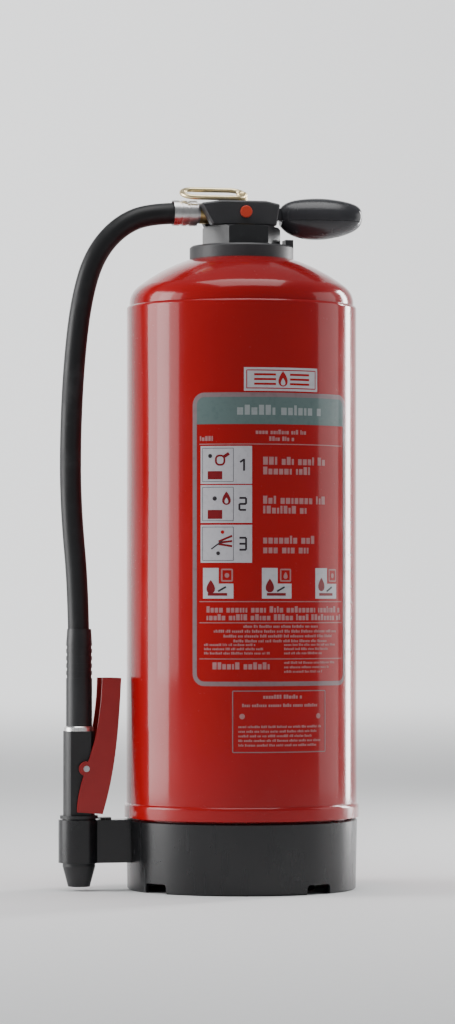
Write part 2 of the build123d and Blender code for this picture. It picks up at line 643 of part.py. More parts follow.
def head_housing():
    """Moulded housing over the core: leaning ends, sloping shoulders, and a fork for the handle."""
    half = HOUSING_W / 2
    shoulder = HOUSING_TOP - HOUSING_SLOPE
    outline = [
        (HOUSING_LEFT, shoulder),
        (HOUSING_LEFT + SLOPE_LEFT, HOUSING_TOP),
        (HOUSING_RIGHT - SLOPE_RIGHT, HOUSING_TOP),
        (HOUSING_RIGHT, shoulder),
        (HOUSING_RIGHT - HOUSING_LEAN_RIGHT, HOUSING_BOTTOM),
        (HOUSING_LEFT + HOUSING_LEAN_LEFT, HOUSING_BOTTOM),
    ]
    housing = extrude(section(*Polyline(*outline, close=True).edges()), half, both=True)
    housing = fillet(housing.edges().filter_by(Axis.Y), HOUSING_CORNER)
    housing = chamfer(housing.faces().sort_by(Axis.Y)[0].edges(), HOUSING_EDGE)
    housing = chamfer(housing.faces().sort_by(Axis.Y)[-1].edges(), HOUSING_EDGE)
    roof = CORE_TOP + CLEAR
    housing -= rod(CORE_R + CLEAR, HOUSING_BOTTOM - 1, roof)
    housing -= rod_x(OUTLET_R + CLEAR, HOUSING_LEFT - 5, 0, OUTLET_Z)
    housing -= block(HOUSING_LEFT - 5, 0, OUTLET_R + CLEAR, HOUSING_BOTTOM - 1, OUTLET_Z)
    housing -= block(0, HOUSING_RIGHT + 5, SLOT_HALF, HOUSING_BOTTOM - 1, roof)
    fork_x = HANDLE_PIVOT_X - HUB_R / 3
    housing -= block(fork_x, HOUSING_RIGHT + 5, SLOT_HALF, HOUSING_BOTTOM - 1, HOUSING_TOP + 1)
    pin_half = half - HINGE_PIN_SUNK
    housing -= rod_y(HINGE_PIN_R + SEAT, -pin_half - SEAT, pin_half + SEAT, *HANDLE_PIVOT)
    housing -= rod(SAFETY_R + SLIDE, CORE_TOP, HOUSING_TOP + 1, SAFETY_X)
    housing -= rod_y(RELIEF_R + SLIDE, -half - 1, RELIEF_BACK + RELIEF_TRAVEL + CLEAR, 0, RELIEF_Z)
    housing -= rod_y(RELIEF_POCKET_R, -half - 1, 0, 0, RELIEF_Z)
    keep("head_housing", one(housing))
    keep("hinge_pin", rod_y(HINGE_PIN_R, -pin_half, pin_half, *HANDLE_PIVOT))


def relief_valve():
    """Push button that lets the pressure off, with its stem and spring."""
    button = rod_y(RELIEF_R, -HOUSING_W / 2 - RELIEF_PROUD, RELIEF_BACK, 0, RELIEF_Z)
    button = fillet(button.edges().filter_by(GeomType.CIRCLE).sort_by(Axis.Y)[0], RELIEF_PROUD / 2)
    button += rod_y(RELIEF_STEM_R, RELIEF_BACK, RELIEF_BORE_END - RELIEF_TRAVEL - CLEAR, 0, RELIEF_Z)
    keep("relief_button", one(button))
    spring = coil(RELIEF_SPRING_R, RELIEF_WIRE_R, 0, -CORE_R + RELIEF_POCKET - RELIEF_BACK - 2 * SEAT, 3)
    keep("relief_spring", Pos(0, RELIEF_BACK + SEAT, RELIEF_Z) * Rot(-90, 0, 0) * spring)


def handle():
    """Carrying handle: a rounded grip in two shells on a rocker that turns in the head's fork."""
    px, pz = HANDLE_PIVOT
    sections = []
    for x, rise, half_h, half_w in HANDLE_STATIONS:
        plane = Plane(origin=(HANDLE_X + x, 0, pz + rise), x_dir=(0, 1, 0), z_dir=(1, 0, 0))
        sections.append(plane * Ellipse(half_w, half_h))
    grip = loft(sections)
    parting = pz + HANDLE_PARTING
    upper = grip & block(px, 2 * SHELL_R, SHELL_R, parting + CLEAR / 2, pz + SHELL_R)
    lower = grip & block(px, 2 * SHELL_R, SHELL_R, pz - SHELL_R, parting - CLEAR / 2)
    half = ROCKER_W / 2
    rocker = rod_y(NOSE_R, -half, half, px - ROCKER_ARM, pz)
    rocker += block(px - ROCKER_ARM, px, half, pz - NOSE_R + 0.4, pz + NOSE_R)
    rocker += rod_y(HUB_R, -half, half, px, pz)
    rocker += block(px, HANDLE_X + HANDLE_STATIONS[1][0], half, parting + CLEAR / 2, pz + HUB_R)
    rocker -= rod_y(HINGE_PIN_R + RUNNING, -ROCKER_W, ROCKER_W, px, pz)
    upper = upper + rocker
    seat = parting - SCREW_SUNK
    for i, along in enumerate(SCREWS_AT):
        x = HANDLE_X + along
        screw = rod(SCREW_HEAD_R, seat - SCREW_HEAD_H, seat, x) + rod(SCREW_R, seat - 1, seat + SCREW_GRIP, x)
        keep(f"handle_screw_{i + 1}", one(screw))
        hole = rod(SCREW_HEAD_R + CLEAR, seat - SHELL_R, seat + SEAT, x)
        hole += rod(SCREW_R + SEAT, seat, seat + SCREW_GRIP + CLEAR, x)
        lower -= hole
        upper -= hole
    keep("handle_upper", one(upper))
    keep("handle_lower", one(lower))


def safety_pin():
    """Pin through the head with a tilted pull loop on its knob."""
    bottom = HOUSING_TOP - SAFETY_DEPTH
    knob_low = HOUSING_TOP + 2 * SLIDE
    knob_top = knob_low + SAFETY_KNOB_H
    pin = turned(
        [
            (0, bottom),
            (SAFETY_R - 0.6, bottom),
            (SAFETY_R, bottom + 0.8),
            (SAFETY_R, knob_low),
            (SAFETY_KNOB_R, knob_low),
            (SAFETY_KNOB_R, knob_top - 1.4),
            (SAFETY_KNOB_R - 1.4, knob_top),
            (0, knob_top),
        ],
        SAFETY_X,
    )
    half = LOOP_W / 2 - LOOP_STOCK_R
    run = LOOP_L / 2 - LOOP_W / 2
    path = Wire(
        [
            Edge.make_line((-run, -half, 0), (run, -half, 0)),
            Edge.make_three_point_arc((run, -half, 0), (run + half, 0, 0), (run, half, 0)),
            Edge.make_line((run, half, 0), (-run, half, 0)),
            Edge.make_three_point_arc((-run, half, 0), (-run - half, 0, 0), (-run, -half, 0)),
        ]
    )
    ring = sweep(Plane(origin=(0, -half, 0), z_dir=(1, 0, 0)) * Circle(LOOP_STOCK_R), path)
    rise = knob_low + CLEAR + LOOP_STOCK_R + half * sin(radians(LOOP_TILT))
    ring = Pos(SAFETY_X + LOOP_REACH - LOOP_L / 2, 0, rise) * Rot(LOOP_TILT, 0, 0) * ring
    keep("safety_pin", one(pin - ring))
    keep("safety_loop", one(ring))


# ---------------------------------------------------------------- hose
def hose_radii():
    """The hose's turning points, and the radius of each bend, as large as its two runs allow."""
    points = [Vector(x, 0, z) for x, z in HOSE_ROUTE]
    runs = [b - a for a, b in zip(points, points[1:])]
    radii = []
    for a, b in zip(runs, runs[1:]):
        half_turn = radians(a.get_angle(b)) / 2
        radii.append(0.45 * min(a.length, b.length) / tan(half_turn))
    return points, radii


def hose():
    """The hose as straight runs joined by tangent arcs."""
    points, radii = hose_radii()
    path = FilletPolyline(*points, radius=radii)
    start = Plane(origin=points[0], z_dir=path % 0)
    tube_solid = one(sweep(start * (Circle(HOSE_R) - Circle(HOSE_BORE_R)), path))
    keep("hose", tube_solid)
    share = tube_solid.volume / (pi * (HOSE_R**2 - HOSE_BORE_R**2) * path.length)
    print("hose bend radii", [round(r) for r in radii], "length", round(path.length, 1))
    print("hose volume over section x length", round(share, 4))


def hose_fittings():
    """Nipple screwed into the outlet, and the crimped ferrule with its flared mouth."""
    nipple = rod_x(HOSE_BORE_R, OUTLET_END, OUTLET_END + NIPPLE_DEPTH - SEAT, OUTLET_Z)
    nipple += rod_x(HOSE_BORE_R - SLIDE, FERRULE_END + FLARE_L, OUTLET_END, OUTLET_Z)
    nipple += rod_x(OUTLET_R, HOSE_START_X + SEAT, OUTLET_END - SEAT, OUTLET_Z)
    nipple -= rod_x(NIPPLE_BORE_R, FERRULE_END, OUTLET_END + 2 * NIPPLE_DEPTH, OUTLET_Z)
    keep("hose_nipple", one(nipple))
    bore = HOSE_R + SLIDE
    ferrule = rod_x(FERRULE_R, FERRULE_END, HOUSING_LEFT - CLEAR, OUTLET_Z)
    ferrule -= rod_x(bore, FERRULE_END - 1, HOUSING_LEFT, OUTLET_Z)
    mouth = Rot(0, -90, 0) * Cone(bore, bore + FLARE, FLARE_L)
    ferrule -= Pos(FERRULE_END + FLARE_L / 2, 0, OUTLET_Z) * mouth
    for at in CRIMPS_AT:
        ends = (FERRULE_END + at, FERRULE_END + at + CRIMP_W)
        ferrule -= rod_x(FERRULE_R + 1, *ends, OUTLET_Z) - rod_x(FERRULE_R - CRIMP_DEPTH, *ends, OUTLET_Z)
    keep("hose_ferrule", one(ferrule))


# ---------------------------------------------------------------- pistol
def pistol_body():
    """Body with flats for the lever, a shoulder that rests on the holder, and the bores."""
    body = rod(BODY_R, BODY_Z, BODY_TOP, PISTOL_X)
    body = body & (Pos(PISTOL_X, 0, 0) * block(-2 * BODY_R, 2 * BODY_R, BODY_FLAT, 0, SHELL_TOP))
    body += rod(SHOULDER_R, BODY_Z, BODY_Z + SHOULDER_H, PISTOL_X)
    body -= rod(CHANNEL_R, BODY_Z - 1, BODY_TOP + 1, PISTOL_X)
    body -= rod(INLET_R + SEAT, BODY_TOP - INLET_DEPTH - SEAT, BODY_TOP + 1, PISTOL_X)
    body -= rod(NOZZLE_SPIGOT_R + SEAT, BODY_Z - 1, BODY_Z + NOZZLE_SPIGOT_H + SEAT, PISTOL_X)
    stem_bore_end = PISTOL_X - STEM_INNER - STEM_TRAVEL - 1
    body -= rod_x(VALVE_STEM_R + SLIDE, stem_bore_end, PISTOL_X + 2 * BODY_R, STEM_Z)
    for side in (-1, 1):
        ends = sorted((side * (BODY_FLAT - LEVER_PIN_DEPTH - SEAT), side * (BODY_FLAT + 1)))
        body -= rod_y(LEVER_PIN_R + SEAT, *ends, *LEVER_PIVOT)
    keep("pistol_body", one(body))
    for side, name in ((-1, "lever_pin_front"), (1, "lever_pin_back")):
        ends = sorted((side * (BODY_FLAT - LEVER_PIN_DEPTH), side * (LEVER_W / 2 + LEVER_PIN_PROUD)))
        keep(name, rod_y(LEVER_PIN_R, *ends, *LEVER_PIVOT))


def pistol_fittings():
    """Nozzle below the body; collar, inlet tube and grip sleeve above it."""
    nozzle = turned(
        [
            (NOZZLE_MOUTH_R, BODY_Z + NOZZLE_BOTTOM),
            (NOZZLE_TIP_R, BODY_Z + NOZZLE_BOTTOM),
            (NOZZLE_R, BODY_Z + NOZZLE_TAPER_TOP),
            (NOZZLE_R, BODY_Z - SEAT),
            (NOZZLE_SPIGOT_R, BODY_Z - SEAT),
            (NOZZLE_SPIGOT_R, BODY_Z + NOZZLE_SPIGOT_H),
            (CHANNEL_R, BODY_Z + NOZZLE_SPIGOT_H),
            (CHANNEL_R, BODY_Z + NOZZLE_TAPER_TOP),
        ],
        PISTOL_X,
    )
    keep("pistol_nozzle", one(nozzle))
    keep("inlet_tube", tube(INLET_R, NIPPLE_BORE_R, BODY_TOP - INLET_DEPTH, HOSE_END_Z + INLET_L, PISTOL_X))
    collar = turned(
        [
            (INLET_R + SEAT, BODY_TOP),
            (COLLAR_R, BODY_TOP),
            (COLLAR_R, GRIP_Z - COLLAR_EDGE),
            (COLLAR_R - COLLAR_EDGE, GRIP_Z),
            (INLET_R + SEAT, GRIP_Z),
        ],
        PISTOL_X,
    )
    keep("pistol_collar", one(collar))
    bore = HOSE_R + CLEAR
    outer = bore + GRIP_WALL
    top = GRIP_Z + GRIP_H
    sleeve = turned(
        [
            (bore, GRIP_Z + SEAT),
            (outer, GRIP_Z + SEAT),
            (outer, top - GRIP_TAPER_H),
            (outer - GRIP_WALL / 2, top),
            (bore, top),
        ],
        PISTOL_X,
    )
    for i in range(GRIP_GROOVES):
        z = top - GRIP_TAPER_H - GRIP_PITCH * (i + 0.7)
        sleeve -= tube(outer + 1, outer - GRIP_WALL / 3, z, z + GRIP_PITCH * 0.4, PISTOL_X)
    keep("pistol_grip", one(sleeve))


def squeeze_lever():
    """Red channel-shaped lever that straddles the body and turns on its two pins."""
    back = [(PISTOL_X + x, BODY_Z + z) for x, z in LEVER_BACK]
    mouth = [(PISTOL_X + x, BODY_Z + z) for x, z in LEVER_MOUTH]
    side_view = section(Spline(*back), Line(back[-1], mouth[0]), Spline(*mouth), Line(mouth[-1], back[0]))
    lever = extrude(side_view, LEVER_W / 2, both=True)
    lever += rod_y(LEVER_EAR_R, -LEVER_W / 2, LEVER_W / 2, *LEVER_PIVOT)
    inner = [(x - LEVER_WEB, z) for x, z in back]
    top, low = (inner[0][0], inner[0][1] + 5), (inner[-1][0], inner[-1][1] - 5)
    far = PISTOL_X - 2 * BODY_R
    edge = Polyline(inner[-1], low, (far, low[1]), (far, top[1]), top, inner[0])
    lever -= extrude(section(Spline(*inner), *edge.edges()), LEVER_W / 2 - LEVER_CHEEK, both=True)
    lever -= rod_y(LEVER_PIN_R + RUNNING, -LEVER_W, LEVER_W, *LEVER_PIVOT)
    keep("squeeze_lever", one(lever))


def pistol_valve():
    """Valve stem that the lever pushes into the body, with its spring."""
    shank_end = STEM_TIP_X - VALVE_STEM_R
    stem = rod_x(VALVE_STEM_R, PISTOL_X - STEM_INNER, shank_end, STEM_Z)
    stem += Pos(shank_end, 0, STEM_Z) * Sphere(VALVE_STEM_R)
    flange_low = shank_end - STEM_FLANGE_H
    stem += rod_x(VALVE_STEM_R + 2, flange_low, shank_end, STEM_Z)
    keep("valve_stem", one(stem))
    seat_x = PISTOL_X + BODY_R + SEAT
    spring = coil(VALVE_STEM_R + 1, STEM_WIRE_R, 0, flange_low - seat_x - SEAT, 3)
    keep("valve_spring", Pos(seat_x, 0, STEM_Z) * Rot(0, 90, 0) * spring)


# ---------------------------------------------------------------- build and write
for build in (
    tank_shell,
    top_dome,
    bottom_dome,
    powder,
    neck_boss,
    foot_ring,
    nozzle_holder,
    neck,
    valve_core,
    cartridge_parts,
    dip_tubes,
    head_housing,
    relief_valve,
    handle,
    safety_pin,
    hose,
    hose_fittings,
    pistol_body,
    pistol_fittings,
    squeeze_lever,
    pistol_valve,
):
    build()

os.makedirs("parts", exist_ok=True)
for name, solid in PARTS.items():
    export_step(solid, f"parts/{name}.step")
print(len(PARTS), "sub-parts written")
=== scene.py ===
# %% [markdown]
# # A powder fire extinguisher with a hose pistol
#
# The solid model of this extinguisher is already made and packed: tank, foot, head, handle and pistol.
# This lesson dresses it for a studio picture. It keeps every solid where it is, gives each one a finish
# made of shader nodes, and adds what the solid model leaves out: the print on the tank, and a rubber hose
# with a smooth bend and the weave of the cloth that it was cured in.

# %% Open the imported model
import json
import random
from math import cos, pi, radians, sin

import bmesh
import bpy
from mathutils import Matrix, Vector


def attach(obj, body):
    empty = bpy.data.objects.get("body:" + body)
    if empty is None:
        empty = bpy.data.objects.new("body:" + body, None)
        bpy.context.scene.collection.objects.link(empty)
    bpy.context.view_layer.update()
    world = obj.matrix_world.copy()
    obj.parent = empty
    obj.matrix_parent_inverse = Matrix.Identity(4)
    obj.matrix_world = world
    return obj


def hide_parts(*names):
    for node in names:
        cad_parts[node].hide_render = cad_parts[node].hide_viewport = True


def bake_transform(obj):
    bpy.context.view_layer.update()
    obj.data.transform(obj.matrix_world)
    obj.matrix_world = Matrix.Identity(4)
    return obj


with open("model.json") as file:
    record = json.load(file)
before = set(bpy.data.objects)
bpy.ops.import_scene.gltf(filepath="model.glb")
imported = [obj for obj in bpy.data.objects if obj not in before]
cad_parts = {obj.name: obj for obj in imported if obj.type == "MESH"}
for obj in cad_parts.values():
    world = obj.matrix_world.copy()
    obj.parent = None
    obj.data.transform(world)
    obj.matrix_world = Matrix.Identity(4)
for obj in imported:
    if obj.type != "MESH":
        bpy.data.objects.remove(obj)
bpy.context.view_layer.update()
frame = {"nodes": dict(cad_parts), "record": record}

nodes = frame["nodes"]

# %% [markdown]
# ## Where the camera stands
#
# The extinguisher is seen from its front, a little from the hose side, with the eye low, at about a third
# of its height. A long lens from a few metres away keeps the tank's sides parallel, as in a catalogue
# picture. The camera could be typed in as angles, but it is easier to read when it is told a place to
# stand and a point to look at.

# %% Camera
EYE = Vector((-0.676, -3.179, 0.235))
LOOK_AT = Vector((-0.0113, 0.0024, 0.3105))

camera = bpy.data.objects.new("camera", bpy.data.cameras.new("camera"))
camera.data.lens = 138.2
camera.data.clip_end = 30
camera.location = EYE
camera.rotation_euler = (LOOK_AT - EYE).to_track_quat("-Z", "Y").to_euler()
bpy.context.scene.collection.objects.link(camera)
bpy.context.scene.camera = camera
print("the camera stands", round((LOOK_AT - EYE).length, 2), "m away")

# %% [markdown]
# ## Floor and lights
#
# The stage is a pale sheet that lies on the floor and sweeps up far behind, so there is no hard horizon
# and a camera behind the object still stands in front of the sheet. A light of its own keeps it pale.
# Gloss is only as good as what it reflects. The tank is a mirror bent round an axis, so each upright
# light draws one upright stripe on it, and a stripe that shows at some angle comes from a light at twice
# that angle. A broad panel beside the hose draws the wide soft stripe, and a narrow one behind the
# handle side draws the thin bright one.

# %% Pale sheet
PAPER_REACH = 25.0        # metres to the front and to each side
PAPER_FLAT = 7.0          # metres behind the object before the sheet bends up
PAPER_BEND = 4.0
PAPER_TOP = 16.0
BEND_STEPS = 15


def sweep_of_paper():
    """A floor that bends up into a wall behind the object."""
    turns = [radians(90 / BEND_STEPS * i) for i in range(1, BEND_STEPS + 1)]
    profile = [(-PAPER_REACH, 0.0), (PAPER_FLAT, 0.0)]
    profile += [(PAPER_FLAT + sin(a) * PAPER_BEND, PAPER_BEND - cos(a) * PAPER_BEND) for a in turns]
    profile.append((PAPER_FLAT + PAPER_BEND, PAPER_TOP))
    mesh = bpy.data.meshes.new("paper")
    points = [(x, y, z) for y, z in profile for x in (-PAPER_REACH, PAPER_REACH)]
    faces = [(2 * i, 2 * i + 1, 2 * i + 3, 2 * i + 2) for i in range(len(profile) - 1)]
    mesh.from_pydata(points, [], faces)
    for face in mesh.polygons:
        face.use_smooth = True
    paper = bpy.data.objects.new("paper", mesh)
    bpy.context.scene.collection.objects.link(paper)
    return paper


paper = sweep_of_paper()
print("the paper has", len(paper.data.polygons), "strips")


# %% Lights
def panel(name, turn, distance, height, size, power, aim=(0, 0, 0.3)):
    """A soft light at a turn in degrees from the front, towards the handle side."""
    lamp = bpy.data.lights.new(name, "AREA")
    lamp.shape = "RECTANGLE"
    lamp.size, lamp.size_y = size
    lamp.energy = power
    light = bpy.data.objects.new(name, lamp)
    light.location = (distance * sin(radians(turn)), -distance * cos(radians(turn)), height)
    light.rotation_euler = (Vector(aim) - light.location).to_track_quat("-Z", "Y").to_euler()
    bpy.context.scene.collection.objects.link(light)


panel("hose_side_panel", -102, 1.6, 0.45, (0.85, 1.7), 30)
panel("handle_side_strip", 119, 1.5, 0.40, (0.28, 1.5), 30)
panel("handle_side_panel", 84, 1.7, 0.45, (0.9, 1.6), 8)
panel("ceiling_panel", 0, 0.25, 2.0, (1.4, 1.2), 20)
panel("hose_side_fill", -90, 3.0, 0.9, (1.5, 1.6), 30)
panel("paper_wash", 180, 4.6, 6.0, (8.0, 1.0), 900, aim=(0, 11, 1.8))

world = bpy.data.worlds.new("room")
bpy.context.scene.world = world
world.use_nodes = True
world.node_tree.nodes["Background"].inputs["Color"].default_value = (0.80, 0.82, 0.85, 1)
world.node_tree.nodes["Background"].inputs["Strength"].default_value = 0.30

# %% [markdown]
# ## A small language for finishes
#
# A finish is a graph of nodes, and a graph is hard to read as code. Two small classes help. `Flow` wraps
# one socket, so that `1 - mask * 0.4` adds the Math nodes it needs. `Finish` is one material: it makes
# any node from its type, its settings and its sockets, and ends in one shader. Numbers that are the same
# all over a surface are typed straight on the shader.

# %% Flow and Finish
class Flow:
    """A value on its way through a finish."""

    def __init__(self, finish, socket):
        self.finish, self.socket = finish, socket

    def maths(self, operation, first, second):
        return self.finish.node("ShaderNodeMath", {"operation": operation}, {0: first, 1: second})

    def __add__(self, other):
        return self.maths("ADD", self, other)

    def __sub__(self, other):
        return self.maths("SUBTRACT", self, other)

    def __rsub__(self, other):
        return self.maths("SUBTRACT", other, self)

    def __mul__(self, other):
        return self.maths("MULTIPLY", self, other)

    __radd__ = __add__
    __rmul__ = __mul__

    def between(self, low, high):
        """0 below low, 1 above high, and smooth between them."""
        sockets = {"Value": self, "From Min": low, "From Max": high}
        return self.finish.node("ShaderNodeMapRange", {"interpolation_type": "SMOOTHSTEP"}, sockets)


class Finish:
    """One material, ending in one Principled shader."""

    def __init__(self, name, **constants):
        self.material = bpy.data.materials.new(name)
        self.material.use_nodes = True
        self.tree = self.material.node_tree
        self.tree.nodes.clear()
        self.shader = self.tree.nodes.new("ShaderNodeBsdfPrincipled")
        output = self.tree.nodes.new("ShaderNodeOutputMaterial")
        self.tree.links.new(self.shader.outputs[0], output.inputs["Surface"])
        for socket, value in constants.items():
            self.shader.inputs[socket.replace("_", " ")].default_value = value

    def node(self, kind, settings=None, sockets=None, output=0):
        """Any node: its settings first, then values or links for its sockets."""
        made = self.tree.nodes.new(kind)
        for key, value in (settings or {}).items():
            setattr(made, key, value)
        for key, value in (sockets or {}).items():
            self.put(made.inputs[key], value)
        return Flow(self, made.outputs[output])

    def put(self, socket, value):
        if isinstance(value, Flow):
            self.tree.links.new(value.socket, socket)
        else:
            socket.default_value = value

    def places(self):
        """Where a point is on the object, in metres."""
        return self.node("ShaderNodeTexCoord", output="Object")

    def stretched(self, scale):
        """The same places, with each axis scaled."""
        settings = {"operation": "MULTIPLY"}
        return self.node("ShaderNodeVectorMath", settings, {0: self.places(), 1: scale})

    def noise(self, scale, detail=3.0, places=None):
        """Cloudy values from 0 to 1, with so many clouds to the metre."""
        sockets = {"Vector": places or self.places(), "Scale": scale, "Detail": detail, "Roughness": 0.55}
        return self.node("ShaderNodeTexNoise", None, sockets)

    def mix(self, mask, first, second):
        """A colour between two, by a mask."""
        sockets = {0: mask, 6: first, 7: second}
        return self.node("ShaderNodeMix", {"data_type": "RGBA"}, sockets, 2)

    def shade(self, **flows):
        for socket, value in flows.items():
            self.put(self.shader.inputs[socket.replace("_", " ")], value)
        return self

    def relief(self, height, depth, strength=1.0):
        """Bumps of a real depth in metres."""
        sockets = {"Height": height, "Distance": depth, "Strength": strength}
        bump = self.node("ShaderNodeBump", None, sockets)
        return self.shade(Normal=bump)


def rgb(red, green, blue):
    return (red, green, blue, 1.0)


paper_finish = Finish("paper_white", Roughness=0.9)
fibres = paper_finish.noise(90, 4)
paper_finish.shade(Base_Color=paper_finish.mix(fibres, rgb(0.86, 0.865, 0.87), rgb(0.90, 0.90, 0.90)))
paper.data.materials.append(paper_finish.material)

# %% [markdown]
# ## Red lacquer
#
# The tank is steel, sprayed with a thick glossy lacquer. Such a coat is never quite flat: it has a fine
# orange-peel ripple about a millimetre across, thin places where the colour is deeper, and a little dust
# and handling haze that only shows in its gloss. The ripple is a shallow bump, the haze is a noise in the
# roughness, and the clear top of the lacquer is the shader's coat.

# %% Lacquer of the tank
PEEL_SCALE, PEEL_DEPTH = 700, 0.000048      # ripples to the metre, and their depth in metres


def gloss_like_lacquer(finish):
    """The peel and the haze that the lacquer and the print on it share."""
    haze = finish.noise(14, 5).between(0.35, 0.8)
    specks = finish.noise(420, 2).between(0.68, 0.8)
    finish.shade(Roughness=0.16 + haze * 0.10 + specks * 0.25)
    return finish.relief(finish.noise(PEEL_SCALE, 2), PEEL_DEPTH, 0.35)


LACQUER = dict(Coat_Weight=0.6, Coat_Roughness=0.05, Coat_IOR=1.36, Specular_IOR_Level=0.18)
RED, DEEP_RED = rgb(0.36, 0.006, 0.008), rgb(0.30, 0.005, 0.007)

lacquer = Finish("red_lacquer", **LACQUER)
clouds = lacquer.noise(5, 3).between(0.3, 0.7)
lacquer.shade(Base_Color=lacquer.mix(clouds, RED, DEEP_RED))
gloss_like_lacquer(lacquer)
print("lacquer:", len(lacquer.tree.nodes), "nodes")

# %% [markdown]
# ## Moulded plastics
#
# The foot and the nozzle holder are tough black polyethylene, the head housing is stiffer and greyer, and
# the handle is smooth where the hand polishes it. All of them keep the fine grain of their mould and have
# upright scuffs. One function makes them all, with the colours, the gloss and the grain as its choices.

# %% Plastics
GRAIN_DEPTH = 0.00002       # metres
SCUFFS = 0.12               # how much duller a scuff is


def moulded(name, dark, light, gloss, grain=2200):
    """A plastic with mould grain, faint clouds in its colour and dull scuffs."""
    finish = Finish(name)
    clouds = finish.noise(30, 4).between(0.3, 0.75)
    streaks = finish.noise(160, 3, places=finish.stretched((1, 1, 0.12))).between(0.58, 0.75)
    finish.shade(Base_Color=finish.mix(clouds * 0.6 + streaks * 0.4, dark, light))
    finish.shade(Roughness=gloss + streaks * SCUFFS + finish.noise(60, 3) * 0.08)
    return finish.relief(finish.noise(grain, 2), GRAIN_DEPTH, 0.6)


foot_plastic = moulded("foot_plastic", rgb(0.005, 0.005, 0.006), rgb(0.011, 0.011, 0.012), 0.22)
head_plastic = moulded("head_plastic", rgb(0.035, 0.035, 0.038), rgb(0.055, 0.055, 0.058), 0.42)
handle_plastic = moulded("handle_plastic", rgb(0.030, 0.030, 0.034), rgb(0.050, 0.050, 0.055), 0.20, 1500)
pistol_plastic = moulded("pistol_plastic", rgb(0.010, 0.010, 0.011), rgb(0.022, 0.022, 0.024), 0.38)
lever_plastic = moulded("lever_plastic", rgb(0.30, 0.009, 0.010), rgb(0.36, 0.014, 0.014), 0.30, 1800)
button_plastic = moulded("button_plastic", rgb(0.66, 0.050, 0.020), rgb(0.74, 0.080, 0.030), 0.26, 1800)
print("plastics made")

# %% [markdown]
# ## Rubber
#
# Seals and the hose are black rubber, which has a dry bloom: pale dust in its pores and a broad, weak
# shine. The hose's cover also keeps the weave of the cloth that it was cured in. That weave has to
# follow the bend, so it is laid out on the hose's own map, round it and along it, rather than in space.

# %% Rubber
HOSE_ROUND, HOSE_ALONG = 40, 360    # threads of the cloth round the hose and along it


def rubber(name, woven):
    """Black rubber with bloom, and with a cloth print if woven."""
    finish = Finish(name, Specular_IOR_Level=0.35)
    bloom = finish.noise(50, 5).between(0.45, 0.8)
    finish.shade(Base_Color=finish.mix(bloom, rgb(0.012, 0.012, 0.013), rgb(0.030, 0.030, 0.032)))
    finish.shade(Roughness=0.42 + bloom * 0.22)
    if not woven:
        return finish.relief(finish.noise(1500, 2), 0.00002, 0.5)
    wrap = finish.node("ShaderNodeTexCoord", output="UV")
    threads = {"operation": "MULTIPLY"}
    laid = finish.node("ShaderNodeVectorMath", threads, {0: wrap, 1: (HOSE_ROUND, HOSE_ALONG, 1)})
    cloth = finish.node("ShaderNodeTexChecker", None, {"Vector": laid, "Scale": 1.0}, 1)
    return finish.relief(cloth * 0.4 + finish.noise(900, 3) * 0.6, 0.00005, 0.5)


seal_rubber = rubber("seal_rubber", False)
hose_rubber = rubber("hose_rubber", True)
print("rubbers made")

# %% [markdown]
# ## Metals
#
# Bright parts are few, so they have to look right: a crimped aluminium ferrule, a yellow passivated pull
# loop, zinc-plated pins, a brass core and a dark lacquered nut. Metal is all reflection, so its life is
# in its roughness. Fine turning lines are a noise squeezed along one axis.

# %% Metals
LINE_DEPTH = 0.00001        # of a tool line, in metres


def metal(name, dark, light, gloss, lines=(1, 1, 1), spread=0.18):
    """A metal with tarnish in its colour and tool lines in its gloss."""
    finish = Finish(name, Metallic=1.0)
    tarnish = finish.noise(70, 5).between(0.35, 0.75)
    finish.shade(Base_Color=finish.mix(tarnish, light, dark))
    turning = finish.noise(500, 3, places=finish.stretched(lines))
    finish.shade(Roughness=gloss + turning * spread + tarnish * 0.08)
    return finish.relief(turning, LINE_DEPTH, 0.5)


bright_alloy = metal("bright_alloy", rgb(0.62, 0.61, 0.60), rgb(0.82, 0.81, 0.80), 0.18, (6, 0.3, 0.3))
zinc_steel = metal("zinc_steel", rgb(0.45, 0.45, 0.47), rgb(0.62, 0.62, 0.63), 0.22)
brass_metal = metal("brass_metal", rgb(0.45, 0.32, 0.12), rgb(0.68, 0.52, 0.24), 0.24, (0.3, 0.3, 6))
safety_gold = metal("safety_gold", rgb(0.80, 0.62, 0.32), rgb(0.95, 0.82, 0.52), 0.24, spread=0.12)
nut_metal = Finish("nut_metal", Coat_Weight=0.3, Coat_Roughness=0.15)
worn = nut_metal.noise(60, 5).between(0.5, 0.85)
nut_metal.shade(Base_Color=nut_metal.mix(worn, rgb(0.020, 0.020, 0.022), rgb(0.050, 0.050, 0.054)))
nut_metal.shade(Roughness=0.30 + worn * 0.2)
nut_metal.relief(nut_metal.noise(900, 2), 0.00001, 0.5)
print("metals made")

# %% Powder
powder = Finish("powder", Roughness=0.95)
powder.shade(Base_Color=powder.mix(powder.noise(300, 4), rgb(0.62, 0.66, 0.74), rgb(0.78, 0.80, 0.84)))
powder.relief(powder.noise(900, 4), 0.0003, 0.6)

# %% [markdown]
# ## Every solid gets its finish
#
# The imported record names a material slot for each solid, and the finishes carry the same names, so one
# loop dresses them all. The solids keep their shapes and places. The solid hose takes plain seal rubber,
# since the woven hose that is made below stands in for it.

